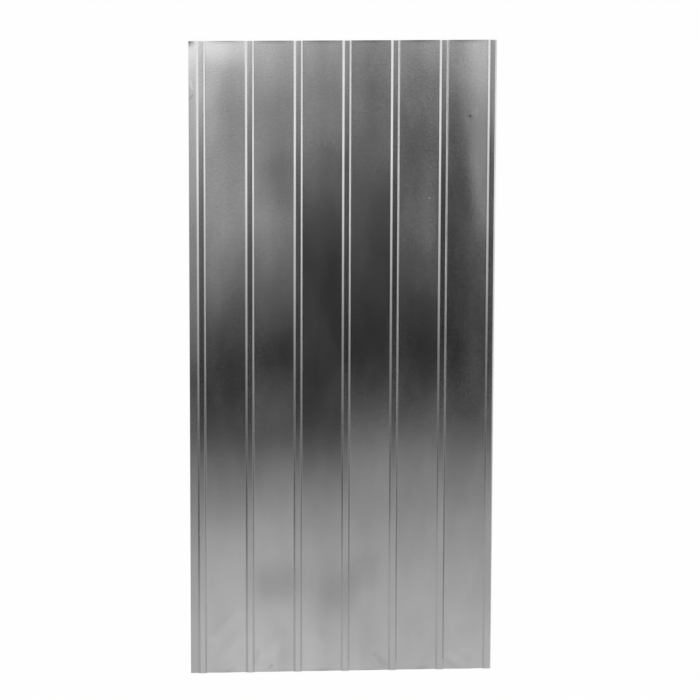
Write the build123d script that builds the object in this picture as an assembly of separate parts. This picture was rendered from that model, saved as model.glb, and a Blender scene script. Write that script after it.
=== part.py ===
from math import atan2, degrees, sin
import os

from build123d import *

os.makedirs("parts", exist_ok=True)

# A profiled steel sheet, in millimetres, lying flat with its ribs up.
# X runs across the ribs, Y along them and Z up. The origin is the middle of the sheet's
# bounding box in plan, on the plane that the pans lie on.

# The sheet as sold: a length cut from the rolled strip, and the gauge of that strip.
SHEET_LENGTH = 2000.0
THICKNESS = 0.5

# The rolled section. Each rib is a flat crest between two sloping webs. The pans between the
# ribs are what is left of the pitch.
RIB_COUNT = 7
RIB_PITCH = 150.0
RIB_RISE = 5.0
CREST_WIDTH = 15.5
WEB_RUN = 5.5
BEND_RADIUS = 2.0

# The two long edges. The flange lies under the next sheet's last rib. The lip is a short web,
# so the last rib stays open on its outer side and drops over the next sheet's first rib.
UNDERLAP_FLANGE = 24.0
OVERLAP_LIP = 5.0

# What follows from those sizes.
web_angle = atan2(RIB_RISE, WEB_RUN)
first_crest = UNDERLAP_FLANGE + WEB_RUN + CREST_WIDTH / 2
last_crest = first_crest + (RIB_COUNT - 1) * RIB_PITCH
sheet_width = last_crest + CREST_WIDTH / 2 + OVERLAP_LIP
pan_width = RIB_PITCH - CREST_WIDTH - 2 * WEB_RUN


def rib_fold_lines(crest_middle):
    """The four folds of one rib on the underside of the strip, from left to right."""
    left = crest_middle - CREST_WIDTH / 2
    right = crest_middle + CREST_WIDTH / 2
    return [
        (left - WEB_RUN, 0.0),
        (left, RIB_RISE),
        (right, RIB_RISE),
        (right + WEB_RUN, 0.0),
    ]


# The underside of the section. It starts at the flange's edge, runs over every rib, and stops
# part of the way down the last web, which is the lip.
left_edge = -sheet_width / 2
underside = [(left_edge, 0.0)]
for rib in range(RIB_COUNT):
    underside += rib_fold_lines(left_edge + first_crest + rib * RIB_PITCH)
underside.pop()
crest_x, crest_z = underside[-1]
lip_run = OVERLAP_LIP - THICKNESS * sin(web_angle)
underside.append((crest_x + lip_run, crest_z - lip_run * RIB_RISE / WEB_RUN))

# At a fold up from a pan the underside is the outer face of the bend, and at a fold onto a
# crest it is the inner face, so that the strip keeps one gauge round both.
fold_radii = [
    BEND_RADIUS if height > 0 else BEND_RADIUS + THICKNESS
    for across, height in underside[1:-1]
]

with BuildPart() as profiled_sheet:
    with BuildSketch(Plane.XZ):
        with BuildLine():
            FilletPolyline(*underside, radius=fold_radii)
            offset(amount=THICKNESS, side=Side.LEFT)
        make_face()
    extrude(amount=SHEET_LENGTH / 2, both=True)

profiled_sheet.part.label = "profiled_sheet"
export_step(profiled_sheet.part, "parts/profiled_sheet.step")

box = profiled_sheet.part.bounding_box()
print("pan width", round(pan_width, 2), "web angle", round(degrees(web_angle), 2))
print("box", box.min, box.max)
print("volume", round(profiled_sheet.part.volume), "faces", len(profiled_sheet.faces()))
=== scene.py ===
# %% [markdown]
# # A profiled galvanised sheet, lying on a studio floor
# The object is one sheet of thin zinc coated steel, cold rolled into narrow ribs with wide flat
# pans between them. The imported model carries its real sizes. This lesson builds the sheet as it
# really looks, with rounded bends, soft waves in the pans and the marks of handling, and then the
# metal, the floor and the light.
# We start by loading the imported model. It is the fixed frame that everything is built around.

# %% Load the frame
import math

import bmesh
import bpy
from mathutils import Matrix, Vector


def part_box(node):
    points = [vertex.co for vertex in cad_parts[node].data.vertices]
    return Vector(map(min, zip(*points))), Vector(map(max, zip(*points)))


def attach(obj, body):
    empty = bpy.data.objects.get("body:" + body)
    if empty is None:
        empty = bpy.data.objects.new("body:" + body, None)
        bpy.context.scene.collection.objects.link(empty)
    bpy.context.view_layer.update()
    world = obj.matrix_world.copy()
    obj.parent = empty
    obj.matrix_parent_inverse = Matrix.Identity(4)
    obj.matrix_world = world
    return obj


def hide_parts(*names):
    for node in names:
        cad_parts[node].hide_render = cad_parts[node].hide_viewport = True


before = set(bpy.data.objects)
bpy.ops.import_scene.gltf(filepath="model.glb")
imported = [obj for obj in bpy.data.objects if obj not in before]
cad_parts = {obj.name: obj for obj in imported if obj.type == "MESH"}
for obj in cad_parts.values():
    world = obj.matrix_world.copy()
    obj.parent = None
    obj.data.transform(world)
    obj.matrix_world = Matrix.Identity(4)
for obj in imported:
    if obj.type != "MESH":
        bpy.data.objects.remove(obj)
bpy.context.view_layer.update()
low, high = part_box("profiled_sheet")
print("sheet in the frame, in mm:", [round(1000 * v, 1) for v in high - low])

# %% [markdown]
# ## The camera
# The photograph looks at the sheet almost squarely from far away: the ribs stay nearly parallel,
# and the head end is only a little wider than the foot. The sheet lies on the floor here, so the
# camera looks down on it through a long lens, with the head of the sheet at the top of the
# picture. A camera can be placed by eye, but this one was worked out from the four corners of the
# sheet in the photograph, because a wrong angle would spoil every later comparison. It stands a
# little towards the flange edge, so the left web of each rib looks slightly wider than the right.

# %% Set up the camera
camera_place = (-0.8675, 2.2629, 11.7179)
camera_turn = (-10.762, -4.315, 0.204)  # degrees about X, Y and Z
bpy.ops.object.select_all(action="DESELECT")
bpy.ops.object.camera_add(
    location=camera_place, rotation=[math.radians(angle) for angle in camera_turn]
)
camera = bpy.context.object
camera.name = "camera"
camera.data.lens = 197.4
camera.data.sensor_width = 36
camera.data.clip_end = 100
bpy.context.scene.camera = camera
print("camera", round(camera.location.length, 2), "m from the middle of the sheet")

# %% [markdown]
# ## The strip before rolling
# A real sheet starts as flat strip. Forming rolls fold it along straight lines, two folds for each
# side of a rib. We do the same: a flat plane the size of the finished sheet is cut with Bisect
# along every line where it will fold, which keeps each fold straight and in its exact place.
# The plane stands for the middle of the metal, half a gauge from either face, so each fold line
# moves sideways a hair to keep the outer sizes right. All sizes are in metres.

# %% The sizes of the section
gauge = 0.0005
rib_count = 7
rib_pitch = 0.150
rib_rise = 0.005
crest_width = 0.0155
web_run = 0.0055
flange = 0.024
first_crest = low.x + flange + web_run + crest_width / 2
crests = [first_crest + rib * rib_pitch for rib in range(rib_count)]
web_angle = math.atan2(rib_rise, web_run)
fold_shift = gauge / 2 * math.tan(web_angle / 2)

fold_lines = []
for crest in crests:
    for side in (-1, 1):
        fold_lines.append(crest + side * (crest_width / 2 + fold_shift))
        fold_lines.append(crest + side * (crest_width / 2 + web_run + fold_shift))
fold_lines = sorted(x for x in fold_lines if x < high.x)
print(len(fold_lines), "fold lines, webs at", round(math.degrees(web_angle), 1), "degrees")

# %% Cut the fold lines into a flat plane
bpy.ops.object.select_all(action="DESELECT")
bpy.ops.mesh.primitive_plane_add(size=1, location=(0, 0, gauge / 2))
sheet = bpy.context.object
sheet.name = "rolled_sheet"
sheet.scale = (high.x - low.x, high.y - low.y, 1)
bpy.ops.object.transform_apply(location=True, rotation=True, scale=True)


def bisect_all(place, normal):
    """Cuts every face where a plane through the place, square to the normal, meets it."""
    bpy.ops.mesh.select_all(action="SELECT")
    bpy.ops.mesh.bisect(plane_co=place, plane_no=normal)


bpy.ops.object.mode_set(mode="EDIT")
for x in fold_lines:
    bisect_all((x, 0, 0), (1, 0, 0))
bpy.ops.object.mode_set(mode="OBJECT")
print(len(sheet.data.polygons), "strips")

# %% [markdown]
# ## Raising the ribs
# The rolls push each crest up while the pans stay in their plane. An extruded profile would give
# the same section, but a folded plane follows the real making, and it stays one layer of faces
# that later steps can wave and thicken. The crest strips are selected by their place and moved up
# by the rise of the rib, and the two strips beside each of them become the sloping webs. The last
# rib has no full outer web, only a short lip, so the outer edge of that strip comes down only part
# of the way.


# %% Select by place, then move up
def select_vertices(test):
    """Selects the vertices whose place passes the test, in vertex mode."""
    bpy.ops.mesh.select_mode(type="VERT")
    bpy.ops.mesh.select_all(action="DESELECT")
    mesh = bmesh.from_edit_mesh(sheet.data)
    for vertex in mesh.verts:
        vertex.select_set(test(vertex.co))
    mesh.select_flush_mode()
    bmesh.update_edit_mesh(sheet.data)
    return sum(v.select for v in mesh.verts)


def on_a_crest(co):
    margin = 0.001
    return any(abs(co.x - crest) < crest_width / 2 + margin for crest in crests)


bpy.ops.object.mode_set(mode="EDIT")
raised = select_vertices(on_a_crest)
bpy.ops.transform.translate(value=(0, 0, rib_rise))
bpy.ops.object.mode_set(mode="OBJECT")
print(raised, "corners raised by", 1000 * rib_rise, "mm")

# %% Lower the lip
edge_margin = 0.0001
lip_end = high.x - gauge / 2 * math.sin(web_angle)
lip_drop = (lip_end - (crests[-1] + crest_width / 2 + fold_shift)) * math.tan(web_angle)
bpy.ops.object.mode_set(mode="EDIT")
select_vertices(lambda co: co.x > high.x - edge_margin)
bpy.ops.transform.translate(value=(lip_end - high.x, 0, rib_rise - lip_drop))
bpy.ops.object.mode_set(mode="OBJECT")
print("lip drops", round(1000 * lip_drop, 2), "mm")

# %% [markdown]
# ## Rounding the folds
# Cold rolled steel never folds to a knife edge. It bends round the roll with an inside radius of
# a few gauges. Bevel turns each fold edge into a small arc of strips. Its offset is measured
# along the faces, so it is the radius of the middle of the metal times the tangent of half the
# turn. Four strips make an arc, and smooth shading does the rest. These arcs catch the light as
# thin lines along the ribs.

# %% Bevel the fold edges
bend_radius = 0.002
arc_strips = 4
bpy.ops.object.mode_set(mode="EDIT")
bpy.ops.mesh.select_mode(type="EDGE")
bpy.ops.mesh.select_all(action="DESELECT")
mesh = bmesh.from_edit_mesh(sheet.data)
for edge in mesh.edges:
    lengthwise = abs(edge.verts[0].co.x - edge.verts[1].co.x) < 1e-6
    edge.select_set(lengthwise and len(edge.link_faces) == 2)
folds = sum(edge.select for edge in mesh.edges)
bmesh.update_edit_mesh(sheet.data)
bpy.ops.mesh.bevel(
    offset=(bend_radius + gauge / 2) * math.tan(web_angle / 2),
    offset_type="OFFSET",
    segments=arc_strips,
    affect="EDGES",
)
bpy.ops.object.mode_set(mode="OBJECT")
print(folds, "folds rounded,", len(sheet.data.polygons), "strips now")

# %% [markdown]
# ## A finer mesh
# Thin metal isn't flat between its ribs. To carry soft waves the strips need rows and columns of
# points, a centimetre or so apart. Subdivide would cut the narrow arcs as finely as the wide pans,
# so Bisect cuts them again: columns through each pan and one through the flange, then rows at even
# steps, and a narrow row at either end for the burr that the shear leaves there.

# %% Cut the columns
pan_columns = 12
flange_column = 0.011
pan_starts = [crest + crest_width / 2 + web_run for crest in crests[:-1]]
pan_width = rib_pitch - crest_width - 2 * web_run
bpy.ops.object.mode_set(mode="EDIT")
for start in pan_starts:
    for column in range(pan_columns):
        bisect_all((start + (column + 0.5) * pan_width / pan_columns, 0, 0), (1, 0, 0))
bisect_all((low.x + flange_column, 0, 0), (1, 0, 0))
bpy.ops.object.mode_set(mode="OBJECT")
print(len(pan_starts), "pans of", round(1000 * pan_width, 1), "mm")

# %% Cut the rows
rows = 170
end_row = 0.004
bpy.ops.object.mode_set(mode="EDIT")
for row in range(1, rows):
    bisect_all((0, low.y + row * (high.y - low.y) / rows, 0), (0, 1, 0))
for end in (low.y + end_row, high.y - end_row):
    bisect_all((0, end, 0), (0, 1, 0))
bpy.ops.object.mode_set(mode="OBJECT")
print(len(sheet.data.vertices), "points")

# %% [markdown]
# ## Soft waves in the pans
# The ribs hold their lines straight, but the wide thin pans between them bulge a little. On a real
# sheet this comes from the tension of rolling, and it is what makes the reflections wander. The
# points could be moved by a formula, but a Displace modifier with a cloud texture is how it would
# be done by hand. Each wave is pushed up only, because a sheet on a floor can't go below it. A
# vertex group keeps the push away from the folds.


# %% A helper that pushes part of the sheet up
def push_up(name, height, weight, texture=None):
    """Displaces the sheet upwards by height, as far as weight(x, y) allows."""
    group = sheet.vertex_groups.new(name=name)
    touched = 0
    for vertex in sheet.data.vertices:
        amount = min(1, weight(vertex.co.x, vertex.co.y))
        if amount > 0:
            group.add([vertex.index], amount, "REPLACE")
            touched += 1
    modifier = sheet.modifiers.new(name, "DISPLACE")
    modifier.vertex_group = name
    modifier.direction = "Z"
    modifier.mid_level = 0
    modifier.strength = height
    if texture:
        modifier.texture = texture
        modifier.texture_coords = "LOCAL"
    bpy.ops.object.modifier_apply(modifier=name)
    sheet.vertex_groups.remove(sheet.vertex_groups[name])
    print(name, "moves", touched, "points, up to", round(1000 * height, 2), "mm")


def cloud_texture(name, size):
    texture = bpy.data.textures.new(name, "CLOUDS")
    texture.noise_scale = size
    texture.noise_depth = 1
    return texture


# %% Waves over all the pans
def across_pan(x, start):
    """Goes from 0 at one edge of the pan to 1 at the other."""
    return min(1, max(0, (x - start) / pan_width))


def any_pan(x, y):
    """Is 1 along the middle of each pan and 0 at its folds."""
    return max(math.sin(math.pi * across_pan(x, start)) ** 2 for start in pan_starts)


def free_flange(x, y):
    """Is 1 at the flange's free edge and 0 at its fold."""
    return max(0, (low.x + flange - x) / flange)


push_up("long_waves", 0.0003, any_pan, cloud_texture("long_waves", 0.5))
push_up("short_waves", 0.00012, any_pan, cloud_texture("short_waves", 0.12))
push_up("flange_waves", 0.0004, free_flange, cloud_texture("flange_waves", 0.2))

# %% [markdown]
# ## A crease and a dent
# The sheet has been carried and knocked. Near the head, the last pan has a faint slanting crease,
# and beside it a small dent with a raised rim. Sculpting could do this too, but a crease and a
# dent have a plain shape, so each one is another push, with its own weight over the sheet.


# %% Crease and dent
def ramp(start, end, value):
    """Goes smoothly from 0 at start to 1 at end."""
    t = min(1, max(0, (value - start) / (end - start)))
    return t * t * (3 - 2 * t)


crease_x, crease_y, crease_slant = 0.345, 0.815, 0.19
rib_side, lip_side = 0.045, 0.055


def crease(x, y):
    """A ridge from the near edge of the last pan at the head to its far edge."""
    start = pan_starts[-1]
    if not start < x < start + pan_width:
        return 0
    inside = math.sin(math.pi * across_pan(x, start)) ** 0.6
    aside = x - (crease_x + (crease_y - y) * crease_slant)
    ridge = 1 - ramp(0, lip_side if aside > 0 else rib_side, abs(aside))
    return inside * ridge * ramp(0.3, 0.55, y) * (1 - ramp(0.88, 0.99, y))


def round_patch(middle_x, middle_y, radius):
    """Makes a weight that is 1 in the middle of a circle and 0 at its edge."""

    def weight(x, y):
        return 1 - ramp(0, radius, math.hypot(x - middle_x, y - middle_y))

    return weight


push_up("crease", 0.00012, crease)
push_up("dent_rim", 0.0003, round_patch(0.400, 0.770, 0.016))
push_up("dent", -0.0002, round_patch(0.394, 0.764, 0.010))

# %% [markdown]
# ## The two cut ends
# The shear that cuts the sheet to length leaves a burr, a fine ridge that catches the light along
# both ends. One corner of the flange is turned up, and the foot end has a few shallow waves, as if
# it had been set down hard on its edge. The burr moves only the last row of points, so the narrow
# end row becomes its slope.


# %% Burrs, corner and foot
def pan_end(is_end):
    """Makes a weight over the pans that holds only where is_end(y) is true."""
    return lambda x, y: any_pan(x, y) ** 0.5 * is_end(y)


burr_height = 0.00015
last_row = 0.001
push_up("head_burr", burr_height, pan_end(lambda y: y > high.y - last_row))
push_up("foot_burr", burr_height, pan_end(lambda y: y < low.y + last_row))
push_up("corner", 0.0012, lambda x, y: ramp(0.985, 1.0, y) * ramp(-0.462, -0.475, x))
push_up(
    "foot_waves",
    0.0012,
    lambda x, y: any_pan(x, y) * (1 - ramp(-1.0, -0.8, y)),
    cloud_texture("foot_waves", 0.07),
)

# %% [markdown]
# ## Gauge
# So far the sheet has no thickness. Solidify grows it by half a gauge to both sides, which puts
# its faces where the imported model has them. A sheared edge shows bare steel, so the new rim gets
# a second material.

# %% Thickness and its two materials
skin = bpy.data.materials.new("galvanised_skin")
shorn = bpy.data.materials.new("sheared_edge")
sheet.data.materials.append(skin)
sheet.data.materials.append(shorn)
solid = sheet.modifiers.new("gauge", "SOLIDIFY")
solid.thickness = gauge
solid.offset = 0
solid.use_even_offset = True
solid.material_offset_rim = 1
bpy.ops.object.modifier_apply(modifier="gauge")
heights = [v.co.z for v in sheet.data.vertices]
print("height from", round(1000 * min(heights), 3), "to", round(1000 * max(heights), 3), "mm")

# %% [markdown]
# ## Shading, and the place in the frame
# The bends are shaded smooth and the sheared edge stays sharp. Weighted normals let the large flat
# strips keep their own direction, so the small bends beside them don't pull the light across.
# Then the sheet is tied to the frame: it rides on the one body and stands for the imported solid,
# which is hidden.

# %% Smooth shading
bpy.ops.object.mode_set(mode="EDIT")
bpy.ops.mesh.select_all(action="SELECT")
bpy.ops.mesh.normals_make_consistent(inside=False)
bpy.ops.object.mode_set(mode="OBJECT")
bpy.ops.object.shade_smooth_by_angle(angle=math.radians(30))
weighted = sheet.modifiers.new("weighted", "WEIGHTED_NORMAL")
weighted.keep_sharp = True
bpy.ops.object.modifier_apply(modifier="weighted")
sheet.data.calc_loop_triangles()
print(len(sheet.data.loop_triangles), "triangles")

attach(sheet, "root")
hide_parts("profiled_sheet")

# %% [markdown]
# ## Building blocks for the metal
# Zinc straight from the bath is a bright, slightly milky metal. It isn't even: there are cloudy
# areas, fine streaks in the direction of rolling, a fine frost, and scratches and chips. Each
# effect is a small node group, so that it can be placed many times with different values. The
# nodes could be laid out by hand in the editor, but a few helpers keep them short to read here.


# %% Helpers for nodes
def connect(tree, value, socket):
    """Links an output socket, or sets a plain number or vector."""
    if isinstance(value, bpy.types.NodeSocket):
        tree.links.new(value, socket)
    elif value is not None:
        socket.default_value = value


def place(tree, kind, *values, **settings):
    """Adds a node, sets its properties and feeds its inputs in order."""
    node = tree.nodes.new(kind)
    for name, setting in settings.items():
        setattr(node, name, setting)
    for value, socket in zip(values, [s for s in node.inputs if s.enabled]):
        connect(tree, value, socket)
    return node


def maths(tree, operation, a, b=None):
    return place(tree, "ShaderNodeMath", a, b, operation=operation).outputs[0]


def vectors(tree, operation, a, b=None):
    """Does one step of vector maths and gives its vector, or its number if it has one."""
    node = place(tree, "ShaderNodeVectorMath", a, b, operation=operation)
    return node.outputs["Value" if operation in ("DOT_PRODUCT", "LENGTH") else "Vector"]


def between(tree, value, from_low, from_high, to_low=0.0, to_high=1.0):
    """Maps a value smoothly from one range to another."""
    node = place(tree, "ShaderNodeMapRange", interpolation_type="SMOOTHSTEP")
    for name, item in zip(
        ("Value", "From Min", "From Max", "To Min", "To Max"),
        (value, from_low, from_high, to_low, to_high),
    ):
        connect(tree, item, node.inputs[name])
    return node.outputs["Result"]


# %% Helpers for node groups
def start_group(name, **sockets):
    """Makes a node group; each socket is given as its kind, and outputs start with out_."""
    group = bpy.data.node_groups.new(name, "ShaderNodeTree")
    for title, kind in sockets.items():
        way = "OUTPUT" if title.startswith("out_") else "INPUT"
        group.interface.new_socket(
            name=title.removeprefix("out_"), in_out=way, socket_type="NodeSocket" + kind
        )
    return group, group.nodes.new("NodeGroupInput"), group.nodes.new("NodeGroupOutput")


def use_group(tree, group, **values):
    """Places a node group and feeds its inputs by name."""
    node = tree.nodes.new("ShaderNodeGroup")
    node.node_tree = group
    for name, value in values.items():
        connect(tree, value, node.inputs[name])
    return node


# %% [markdown]
# One group makes every kind of cloud on the metal. A noise pattern is stretched differently on
# each axis: evenly for patches, and long and thin for streaks, because rolling draws everything
# out along the sheet.

# %% A group for cloudy unevenness
cloudy, ins, outs = start_group(
    "cloudy_patches", Place="Vector", Stretch="Vector", Detail="Float", out_Cloud="Float"
)
noise = cloudy.nodes.new("ShaderNodeTexNoise")
noise.inputs["Scale"].default_value = 1
stretched = vectors(cloudy, "MULTIPLY", ins.outputs["Place"], ins.outputs["Stretch"])
cloudy.links.new(stretched, noise.inputs["Vector"])
cloudy.links.new(ins.outputs["Detail"], noise.inputs["Detail"])
cloudy.links.new(noise.outputs["Fac"], outs.inputs["Cloud"])


def cloud(tree, at, stretch, detail):
    """Places the cloudy group; the stretch is about how often it changes in a metre."""
    return use_group(tree, cloudy, Place=at, Stretch=stretch, Detail=detail).outputs["Cloud"]


print(cloudy.name, "has", len(cloudy.nodes), "nodes")

# %% [markdown]
# The group draws a thin straight mark, such as a long scratch. It measures how far a point is from
# the line between two ends, and fades out at both ends. It is placed once for each mark. Made short
# and wide, the same group gives a spot, and it also draws the painted light and shade of the dent,
# the flange's nicks and the bends at the foot.

# %% A group for one straight mark
line_mark_group, ins, outs = start_group(
    "straight_mark", Place="Vector", Start="Vector", End="Vector", Width="Float", out_Mark="Float"
)
along = vectors(line_mark_group, "SUBTRACT", ins.outputs["End"], ins.outputs["Start"])
offset = vectors(line_mark_group, "SUBTRACT", ins.outputs["Place"], ins.outputs["Start"])
length = vectors(line_mark_group, "LENGTH", along)
unit = vectors(line_mark_group, "NORMALIZE", along)
travel = vectors(line_mark_group, "DOT_PRODUCT", offset, unit)
cross = vectors(line_mark_group, "CROSS_PRODUCT", offset, unit)
aside = maths(line_mark_group, "ABSOLUTE", place(line_mark_group, "ShaderNodeSeparateXYZ", cross).outputs["Z"])
thin = between(line_mark_group, maths(line_mark_group, "DIVIDE", aside, ins.outputs["Width"]), 1.0, 0.2)
share = maths(line_mark_group, "DIVIDE", travel, length)
starting = between(line_mark_group, share, 0.0, 0.15)
ending = between(line_mark_group, share, 1.0, 0.8)
inside = maths(line_mark_group, "MULTIPLY", starting, ending)
line_mark_group.links.new(maths(line_mark_group, "MULTIPLY", thin, inside), outs.inputs["Mark"])
print(line_mark_group.name, "has", len(line_mark_group.nodes), "nodes")

# %% [markdown]
# A soft field is a box shaped area with blurred sides, full strength inside and nothing outside.
# It serves twice: for the pans, each of which leans a little its own way, and later for the bright
# areas of the room that the metal mirrors.

# %% A group for one soft field
field, ins, outs = start_group(
    "soft_field",
    Place="Vector",
    Middle="Vector",
    Reach="Vector",
    Edge="Vector",
    Strength="Float",
    out_Amount="Float",
)
away = vectors(field, "SUBTRACT", ins.outputs["Place"], ins.outputs["Middle"])
far = vectors(field, "ABSOLUTE", away)
over = vectors(field, "SUBTRACT", far, ins.outputs["Reach"])
share = vectors(field, "DIVIDE", over, ins.outputs["Edge"])
parts = place(field, "ShaderNodeSeparateXYZ", share)
amount = ins.outputs["Strength"]
for axis in "XYZ":
    fade = between(field, parts.outputs[axis], 1, 0)
    amount = maths(field, "MULTIPLY", amount, fade)
field.links.new(amount, outs.inputs["Amount"])


def soft_fields(tree, at, fields):
    """Adds up soft fields, each given as its middle, reach, edge and strength."""
    total = None
    for middle, reach, edge, strength in fields:
        one = use_group(
            tree, field, Place=at, Middle=middle, Reach=reach, Edge=edge, Strength=strength
        ).outputs["Amount"]
        total = one if total is None else maths(tree, "ADD", one, total)
    return total


print(field.name, "has", len(field.nodes), "nodes")

# %% [markdown]
# ## The zinc skin
# The metal itself is fully metallic, a light neutral grey. Three clouds make it uneven: patches as
# wide as a hand, streaks along the rolling, and a fine frost, which is the grain of the zinc. A
# picture of zinc could be laid over the sheet instead, but a noise pattern has no seam and stays
# sharp at any distance. In the photograph the frost is plain on the upper half and faint at the
# foot, so it fades along the sheet.

# %% Patches, streaks and frost
skin.use_nodes = True
tree = skin.node_tree
metal = tree.nodes["Principled BSDF"]
metal.inputs["Metallic"].default_value = 1.0
at = tree.nodes.new("ShaderNodeTexCoord").outputs["Object"]

patches = cloud(tree, at, stretch=(9, 3.5, 9), detail=3.0)
streaks = cloud(tree, at, stretch=(420, 5, 420), detail=2.0)
frost = cloud(tree, at, stretch=(145, 135, 145), detail=3.0)

foot_side, head_side, least_frost = -0.55, -0.05, 0.35
along_sheet = place(tree, "ShaderNodeSeparateXYZ", at).outputs["Y"]
frosted = between(tree, along_sheet, foot_side, head_side, least_frost, 1.0)
mottle = maths(tree, "MULTIPLY", maths(tree, "SUBTRACT", frost, 0.5), frosted)
print("frost at the foot is", least_frost, "of what it is at the head")

# %% [markdown]
# ## Scratches, spots, and painted light and shade
# These are the marks that the photograph shows: a few long scratches on the pans, painted lighter
# where they glint, a lighter line along the foot, a bright spot, the dent's middle as painted shade
# and its rim as a painted highlight, painted light and shade at two nicks in the flange's edge, and
# the painted light and shade of the shallow bends at the foot. They could be cut into the mesh, but
# they have hardly any depth, so they only make the zinc lighter or darker. Each line gives where a
# mark begins and where it ends, its width, and how much it changes the tone.

# %% Where the marks and the painted light and shade are
# Scratches on the pans, painted lighter where they glint, and a lighter line along the foot.
scratch_glints = [
    ((-0.097, 0.034), (-0.078, -0.235), 0.0014, 0.03),
    ((-0.112, 0.020), (-0.104, -0.190), 0.0010, 0.03),
    ((0.200, -0.330), (0.255, -0.470), 0.0010, 0.03),
    ((-0.300, -0.520), (-0.255, -0.600), 0.0010, 0.03),
    ((-0.055, 0.672), (-0.053, 0.692), 0.0025, 0.10),
    ((-0.030, 0.674), (-0.028, 0.694), 0.0025, 0.10),
    ((-0.433, -0.984), (0.140, -0.986), 0.0025, 0.03),
]
# A bright spot, the dent's middle as painted shade and its rim as a painted highlight, and painted
# light and shade at two nicks in the flange's edge.
spots_and_painted_light = [
    ((0.268, 0.512), (0.273, 0.506), 0.0030, 0.40),
    ((0.391, 0.766), (0.398, 0.762), 0.0035, -0.35),
    ((0.397, 0.773), (0.403, 0.769), 0.0030, 0.16),
    ((-0.471, 0.880), (-0.462, 0.848), 0.0050, 0.14),
    ((-0.474, 0.820), (-0.459, 0.836), 0.0040, -0.14),
]
# Painted light and shade of the shallow bends at the foot, one streak each.
foot_bend_light_and_shade = [
    ((-0.410, -0.916), (-0.303, -0.795), 0.026, 0.028),
    ((-0.417, -0.879), (-0.358, -0.811), 0.020, -0.015),
    ((-0.398, -0.982), (-0.307, -0.889), 0.024, 0.022),
    ((-0.367, -0.999), (-0.330, -0.982), 0.011, -0.045),
    ((-0.276, -0.980), (-0.260, -0.920), 0.013, -0.045),
    ((-0.256, -0.963), (-0.161, -0.882), 0.028, 0.018),
    ((-0.229, -0.991), (-0.216, -0.973), 0.007, -0.10),
    ((0.100, -0.937), (0.145, -0.992), 0.015, -0.050),
    ((0.242, -1.000), (0.282, -0.988), 0.010, -0.045),
    ((0.331, -0.940), (0.403, -0.998), 0.018, 0.030),
    ((0.325, -0.968), (0.365, -0.994), 0.011, -0.035),
]
print(len(scratch_glints), "scratches,", len(spots_and_painted_light), "chips,", len(foot_bend_light_and_shade), "painted bend light and shade at the foot")

# %% Add up the marks and the painted light and shade
marks_and_painted_light = 0.0
for begin, end, width, change in scratch_glints + spots_and_painted_light + foot_bend_light_and_shade:
    mark = use_group(
        tree, line_mark_group, Place=at, Start=(*begin, 0), End=(*end, 0), Width=width
    ).outputs["Mark"]
    marks_and_painted_light = maths(tree, "ADD", maths(tree, "MULTIPLY", mark, change), marks_and_painted_light)
print(skin.name, "has", len(tree.nodes), "nodes so far")

# %% [markdown]
# ## Colour and roughness
# The colour is one tone with a breath more blue. The clouds move it by a few hundredths at most,
# and the marks, with the painted shade and highlights among them, by more. The roughness decides
# how soft the reflections are: low enough for the light to run along the ribs, high enough that
# nothing in the room can be read in it. Where real zinc is duller it is mostly rougher too, so both
# use the same patches and frost.


# %% Tone and roughness of the zinc
def swing(tree, mask, start, end, amount):
    """Goes from minus the amount to plus the amount, as the mask goes from start to end."""
    return between(tree, mask, start, end, -amount, amount)


zinc_tone = 0.62
zinc_blue = 1.01
tone = maths(tree, "ADD", swing(tree, patches, 0.3, 0.7, 0.03), zinc_tone)
tone = maths(tree, "ADD", tone, swing(tree, streaks, 0.25, 0.75, 0.004))
tone = maths(tree, "ADD", tone, swing(tree, mottle, -0.2, 0.2, 0.009))
# The marks add painted shade and highlights to the tone as well.
tone = maths(tree, "ADD", tone, marks_and_painted_light)
blue = maths(tree, "MULTIPLY", tone, zinc_blue)
colour = place(tree, "ShaderNodeCombineColor", tone, tone, blue)
tree.links.new(colour.outputs[0], metal.inputs["Base Color"])

zinc_roughness = 0.125
rough = maths(tree, "ADD", swing(tree, patches, 0.3, 0.7, 0.012), zinc_roughness)
rough = maths(tree, "ADD", rough, swing(tree, mottle, -0.2, 0.2, 0.012))
tree.links.new(rough, metal.inputs["Roughness"])
print("zinc tone", zinc_tone, "roughness", zinc_roughness)

# %% [markdown]
# ## A mirror that isn't quite flat
# Each pan of a real sheet is buckled by tenths of a degree, so each one mirrors its own stretch of
# the room, and light and dark change along one pan at other places than along the next. A push on
# the mesh could do this, but our room is plainer than the real one, so it would take slopes that
# lift the pans by centimetres. We lean the shading normal instead. The outline and the sizes stay,
# and only the mirrored light moves. A lean above zero tips the metal towards the head of the sheet,
# and one below zero towards its foot. About half of these leans, here and in the next list, came
# from a program that fitted them to the photograph's brightness. The rest were set by eye.

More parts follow.
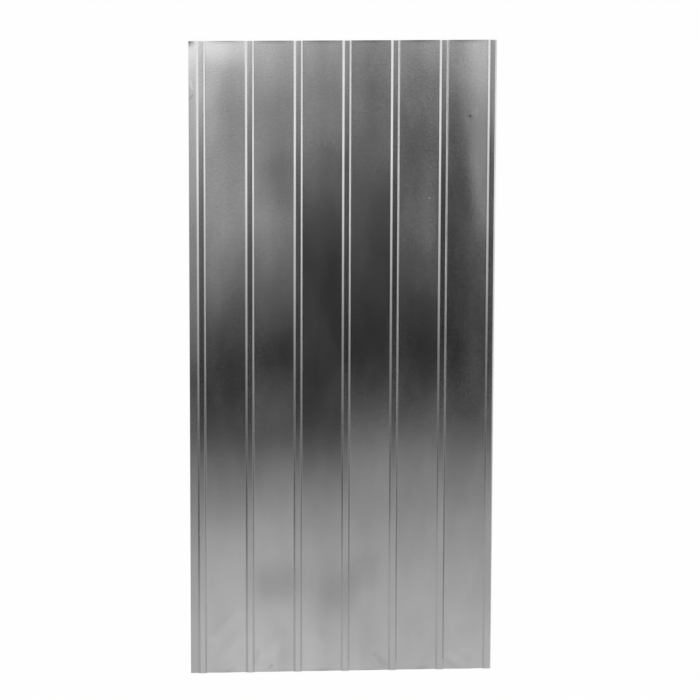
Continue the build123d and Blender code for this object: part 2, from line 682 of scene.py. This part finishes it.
# %% How each pan leans
bend_share = 0.0008  # what a bend takes of the flat metal beside it
crisp = 0.001  # a lean ends this fast at a fold
pan_leans = [  # the pan, the middle along the sheet, the reach, the blurred edge, degrees
    (1, 1.00, 0.02, 0.08, 0.8),
    (1, 0.38, 0.02, 0.45, 2.6),
    (1, -0.64, 0.03, 0.22, -0.2),
    (2, 0.38, 0.01, 0.45, 2.7),
    (2, -0.07, 0.02, 0.18, -0.9),
    (2, -0.44, 0.08, 0.28, -0.3),
    (3, 0.66, 0.05, 0.16, 0.5),
    (3, 0.25, 0.00, 0.31, -1.3),
    (3, -0.20, 0.01, 0.18, 0.5),
    (3, -0.36, 0.01, 0.12, 0.2),
    (4, 0.90, 0.04, 0.10, -0.2),
    (4, 0.55, 0.09, 0.25, 0.5),
    (4, -0.28, 0.06, 0.22, -0.4),
    (4, -0.27, 0.02, 0.10, -0.25),
    (5, 0.97, 0.03, 0.08, 0.25),
    (5, 0.68, 0.06, 0.17, 0.2),
    (5, 0.33, 0.05, 0.32, 2.1),
    (5, -0.52, 0.04, 0.20, 0.3),
    (5, -0.22, 0.06, 0.20, -0.3),
    (6, 0.55, 0.05, 0.20, 0.8),
    (6, -0.50, 0.05, 0.16, 0.45),
]
leans = []
for pan, middle, reach, edge, degrees in pan_leans:
    centre = pan_starts[pan - 1] + pan_width / 2
    flat_half = pan_width / 2 - bend_share
    leans.append(
        ((centre, middle, 0), (flat_half, reach, 1), (crisp, edge, 1), math.radians(degrees))
    )
print(len(leans), "leans that fill a pan from fold to fold")

# %% [markdown]
# Other leans don't fill a pan. The first is common to the whole width, below the middle. The rest
# are smaller places: the lip side of the last pan, where the crease runs, the last crest, a few
# spots near the head and at the foot, and two stretches of the flange. The flange has no rib at
# its free side to hold it level, so it also tips outwards as a whole.

# %% How smaller places lean
part_leans = [  # the middle, the reach and the blurred edge, each across and along, degrees
    ((0.00, -0.48), (0.50, 0.05), (0.10, 0.25), -0.6),
    ((0.46, 0.52), (0.02, 0.13), (0.07, 0.42), 1.1),
    ((crests[-1], 0.62), (0.011, 0.25), (0.003, 0.42), -1.15),
    ((0.39, 0.61), (0.055, 0.03), (0.05, 0.26), -1.35),
    ((-0.425, 0.78), (0.01, 0.05), (0.05, 0.10), 0.5),
    ((-0.20, 0.56), (0.02, 0.03), (0.09, 0.10), -0.7),
    ((-0.20, -0.72), (0.03, 0.00), (0.10, 0.11), 0.7),
    ((-0.025, -0.76), (0.01, 0.00), (0.09, 0.14), 0.9),
    ((0.07, -0.68), (0.02, 0.02), (0.05, 0.07), 0.5),
    ((0.39, -0.09), (0.03, 0.03), (0.04, 0.10), 0.4),
    ((-0.02, 0.86), (0.01, 0.12), (0.04, 0.12), 0.45),
    ((-0.465, 0.70), (0.0105, 0.12), (0.002, 0.15), -0.4),
    ((-0.465, -0.20), (0.0105, 0.08), (0.002, 0.15), -0.4),
]
for centre, reach, edge, degrees in part_leans:
    leans.append(((*centre, 0), (*reach, 1), (*edge, 1), math.radians(degrees)))

flange_tip = math.radians(-2.5)
flange_lean = [((low.x, 0, 0), (flange - bend_share, 2, 1), (crisp, 1, 1), flange_tip)]
print(len(part_leans), "smaller leans, and the flange's own")

# %% Lean the shading normal
lean_by = place(tree, "ShaderNodeCombineXYZ")
tree.links.new(soft_fields(tree, at, flange_lean), lean_by.inputs["X"])
tree.links.new(soft_fields(tree, at, leans), lean_by.inputs["Y"])
facing = tree.nodes.new("ShaderNodeNewGeometry").outputs["Normal"]
leaning = vectors(tree, "NORMALIZE", vectors(tree, "ADD", facing, lean_by.outputs[0]))
print(skin.name, "has", len(tree.nodes), "nodes so far")

# %% [markdown]
# ## The grain of the zinc
# The frost and the streaks also have a little height, a few hundredths of a millimetre. That is
# far too fine for the mesh, so a Bump node adds it on top of the leaning normal. Its strength is
# low: the grain should only soften the edges of the reflections.

# %% Fine relief
streak_share = 0.2
grain = maths(tree, "ADD", maths(tree, "MULTIPLY", streaks, streak_share), mottle)
bump = tree.nodes.new("ShaderNodeBump")
bump.inputs["Strength"].default_value = 0.2
bump.inputs["Distance"].default_value = 0.0002
tree.links.new(leaning, bump.inputs["Normal"])
tree.links.new(grain, bump.inputs["Height"])
tree.links.new(bump.outputs["Normal"], metal.inputs["Normal"])
print(skin.name, "has", len(tree.nodes), "nodes")

# %% [markdown]
# ## The sheared edge
# Where the sheet was cut, the zinc is only dragged part of the way over the steel, so the thin
# edge is darker and rougher, with fine lines across its thickness. The cloudy group gives these
# lines too, squeezed along the edge.

# %% Sheared edge
shorn.use_nodes = True
tree = shorn.node_tree
metal = tree.nodes["Principled BSDF"]
metal.inputs["Metallic"].default_value = 1.0
at = tree.nodes.new("ShaderNodeTexCoord").outputs["Object"]
lines = cloud(tree, at, stretch=(900, 900, 60), detail=2.0)
tone = between(tree, lines, 0.3, 0.7, 0.3, 0.42)
colour = place(tree, "ShaderNodeCombineColor", tone, tone, tone)
tree.links.new(colour.outputs[0], metal.inputs["Base Color"])
tree.links.new(between(tree, lines, 0.3, 0.7, 0.38, 0.5), metal.inputs["Roughness"])
print(shorn.name, "has", len(tree.nodes), "nodes")

# %% [markdown]
# ## The floor
# A plain pale floor. In the picture it should be the white of the page, but the sheet's soft
# contact shadow has to stay. More light would whiten it and burn out the metal too. So the camera
# sees a mix of plain white paint, which takes the shadow, and a glow of strength 1, which is white.
# All else in the scene sees only the paint.

# %% Floor
floor_size = 40
below_the_sheet = 0.0002
bpy.ops.object.select_all(action="DESELECT")
bpy.ops.mesh.primitive_plane_add(size=floor_size, location=(0, 0, -below_the_sheet))
floor = bpy.context.object
floor.name = "floor"
bpy.ops.object.transform_apply(location=True, rotation=True, scale=True)
print("floor", floor_size, "m wide")

# %% Paint that the camera sees as white
glow_share = 0.85
paint = bpy.data.materials.new("pale_floor")
paint.use_nodes = True
tree = paint.node_tree
tree.nodes.clear()
output = tree.nodes.new("ShaderNodeOutputMaterial")
matt = tree.nodes.new("ShaderNodeBsdfDiffuse")
matt.inputs["Color"].default_value = (0.95, 0.95, 0.95, 1)
glow = tree.nodes.new("ShaderNodeEmission")
seen = tree.nodes.new("ShaderNodeLightPath").outputs["Is Camera Ray"]
mix = tree.nodes.new("ShaderNodeMixShader")
tree.links.new(maths(tree, "MULTIPLY", seen, glow_share), mix.inputs["Fac"])
tree.links.new(matt.outputs[0], mix.inputs[1])
tree.links.new(glow.outputs[0], mix.inputs[2])
tree.links.new(mix.outputs[0], output.inputs["Surface"])
floor.data.materials.append(paint)
print(paint.name, "glows by", glow_share, "for the camera")

# %% [markdown]
# ## The light
# A shiny sheet has almost no look of its own: it shows the room. In the photograph the head of
# the sheet mirrors something bright, the middle something dark, and the foot something grey.
# Lamps would give it hard spots, so the room is built from cards that glow softly: a large dull
# ceiling with a few bright fields on it, and a pale wall at each side for the sloping webs of the
# ribs. Only the gloss of the metal sees them. Where fields lie over each other their glow adds
# up, so each card has a most that it may reach, or the metal would burn out from other sides.


# %% Light cards that only gloss sees
def light_card(name, corners, base, most, fields):
    """Adds a plane between its corners, glowing by its base and its fields, up to most."""
    (x0, y0, z0), (x1, y1, z1) = corners
    middle = ((x0 + x1) / 2, (y0 + y1) / 2, (z0 + z1) / 2)
    upright = z0 != z1
    bpy.ops.object.select_all(action="DESELECT")
    bpy.ops.mesh.primitive_plane_add(
        size=1, location=middle, rotation=(0, math.pi / 2 if upright else 0, 0)
    )
    card = bpy.context.object
    card.name = name
    card.scale = (z1 - z0 if upright else x1 - x0, y1 - y0, 1)
    bpy.ops.object.transform_apply(location=True, rotation=True, scale=True)
    card.visible_camera = card.visible_diffuse = card.visible_shadow = False
    card.visible_transmission = card.visible_volume_scatter = False
    card.data.materials.append(glowing(name, base, most, fields))
    print(name, "carries", len(fields), "bright fields")


def glowing(name, base, most, fields):
    """Makes the material of a card."""
    material = bpy.data.materials.new(name)
    material.use_nodes = True
    material.cycles.emission_sampling = "NONE"
    tree = material.node_tree
    tree.nodes.clear()
    at = tree.nodes.new("ShaderNodeTexCoord").outputs["Object"]
    total = maths(tree, "ADD", soft_fields(tree, at, fields), base)
    total = maths(tree, "MINIMUM", total, most)
    grey = place(tree, "ShaderNodeCombineColor", total, total, total)
    light = tree.nodes.new("ShaderNodeEmission")
    out = tree.nodes.new("ShaderNodeOutputMaterial")
    tree.links.new(grey.outputs[0], light.inputs["Color"])
    tree.links.new(light.outputs[0], out.inputs["Surface"])
    return material


# %% [markdown]
# The pans lie level, so they mirror the ceiling. Seen from the camera, the head of the sheet
# mirrors it at a y of about 0.5 and the foot at about -2.4, and the leans move this a little. The
# wide fields give the slow change along all the pans, and the narrow ones make one side brighter.
# All but the two at the far left came from the same fit as the leans, so their numbers are odd
# ones. In a room of your own, start with two or three round fields and move them by eye.

# %% Ceiling
ceiling_height = 5.0


def ceiling_glow(middle, reach, edge, strength):
    """A bright field on the ceiling, with its place and sizes across and along the sheet."""
    thin = 0.1
    return (*middle, ceiling_height), (*reach, thin), (*edge, thin), strength


light_card(
    "ceiling",
    ((-5.5, -8.0, ceiling_height), (6.5, 2.6, ceiling_height)),
    base=0.02,
    most=1.45,
    fields=[
        # For the head of the sheet, and more of it on the flange side.
        ceiling_glow((-2.65, 2.81), (1.97, 1.51), (1.39, 2.57), 0.53),
        ceiling_glow((0.50, 2.85), (5.00, 1.46), (1.00, 2.49), 0.18),
        ceiling_glow((-2.62, 2.39), (2.01, 1.50), (1.36, 0.77), 1.18),
        ceiling_glow((0.50, 2.36), (5.00, 1.54), (1.00, 1.06), 0.13),
        ceiling_glow((-3.75, 2.00), (3.00, 2.11), (0.30, 1.28), 0.33),
        # For the last pan and the lip side.
        ceiling_glow((1.90, 0.21), (0.51, 1.08), (0.33, 0.65), 0.39),
        ceiling_glow((2.19, 2.24), (1.17, 1.40), (0.59, 0.58), 0.83),
        ceiling_glow((1.92, 1.32), (0.87, 1.33), (0.22, 0.30), 0.28),
        # For the foot.
        ceiling_glow((0.50, -4.39), (5.00, 2.00), (1.00, 1.32), 0.56),
        ceiling_glow((2.97, -4.49), (2.14, 2.88), (1.21, 0.70), 0.10),
        ceiling_glow((-0.17, -4.37), (0.21, 2.31), (0.38, 0.38), 0.13),
        ceiling_glow((-0.15, -4.32), (0.25, 2.29), (0.37, 0.16), 0.04),
        # For the middle of the flange.
        ceiling_glow((-3.75, -1.20), (3.00, 0.60), (0.30, 0.80), 0.06),
    ],
)

# %% [markdown]
# The webs of the ribs slope, so they mirror the walls and not the ceiling. That is why the ribs
# show as bright double lines between darker pans. The lines are brightest at the head, so each
# wall has one strong field there and a weak one at the foot.

# %% Side walls
wall_distance, wall_height = 2.0, 1.5
wall_foot, wall_head = -2.0, 1.3


def wall(name, x, base, most, fields):
    """A wall beside the sheet; each field is its middle, reach and edge along y, and strength."""
    light_card(
        name,
        ((x, wall_foot, 0.0), (x, wall_head, wall_height)),
        base,
        most,
        [
            ((x, middle, 0.7), (0.1, reach, 1.0), (0.1, edge, 0.1), strength)
            for middle, reach, edge, strength in fields
        ],
    )


wall("left_wall", -wall_distance, 0.15, 1.2, [(1.8, 0.8, 1.82, 1.45), (-2.2, 0.8, 0.54, 0.4)])
wall("right_wall", wall_distance, 0.2, 1.3, [(1.8, 0.85, 1.85, 1.62), (-2.2, 0.76, 0.49, 0.35)])

# %% [markdown]
# ## The world
# An even white world lights everything at a plain level, and the camera sees it as white. The
# metal would mirror it too, where the cards end, and a sheet seen from low down would melt into
# the white background. So gloss sees the same white room dimmed. The view transform is Standard,
# which renders each colour about as it is written.

# %% World
mirror_dimming = 0.4
world = bpy.data.worlds.new("white_room")
world.use_nodes = True
tree = world.node_tree
room = tree.nodes["Background"]
room.inputs["Color"].default_value = (1, 1, 1, 1)
mirrored = tree.nodes.new("ShaderNodeLightPath").outputs["Is Glossy Ray"]
brightness = maths(tree, "SUBTRACT", 1.0, maths(tree, "MULTIPLY", mirrored, mirror_dimming))
tree.links.new(brightness, room.inputs["Strength"])
world.cycles.sampling_method = "NONE"
bpy.context.scene.world = world
bpy.context.scene.view_settings.view_transform = "Standard"
print("the world is 1.0, and", 1 - mirror_dimming, "where it is mirrored")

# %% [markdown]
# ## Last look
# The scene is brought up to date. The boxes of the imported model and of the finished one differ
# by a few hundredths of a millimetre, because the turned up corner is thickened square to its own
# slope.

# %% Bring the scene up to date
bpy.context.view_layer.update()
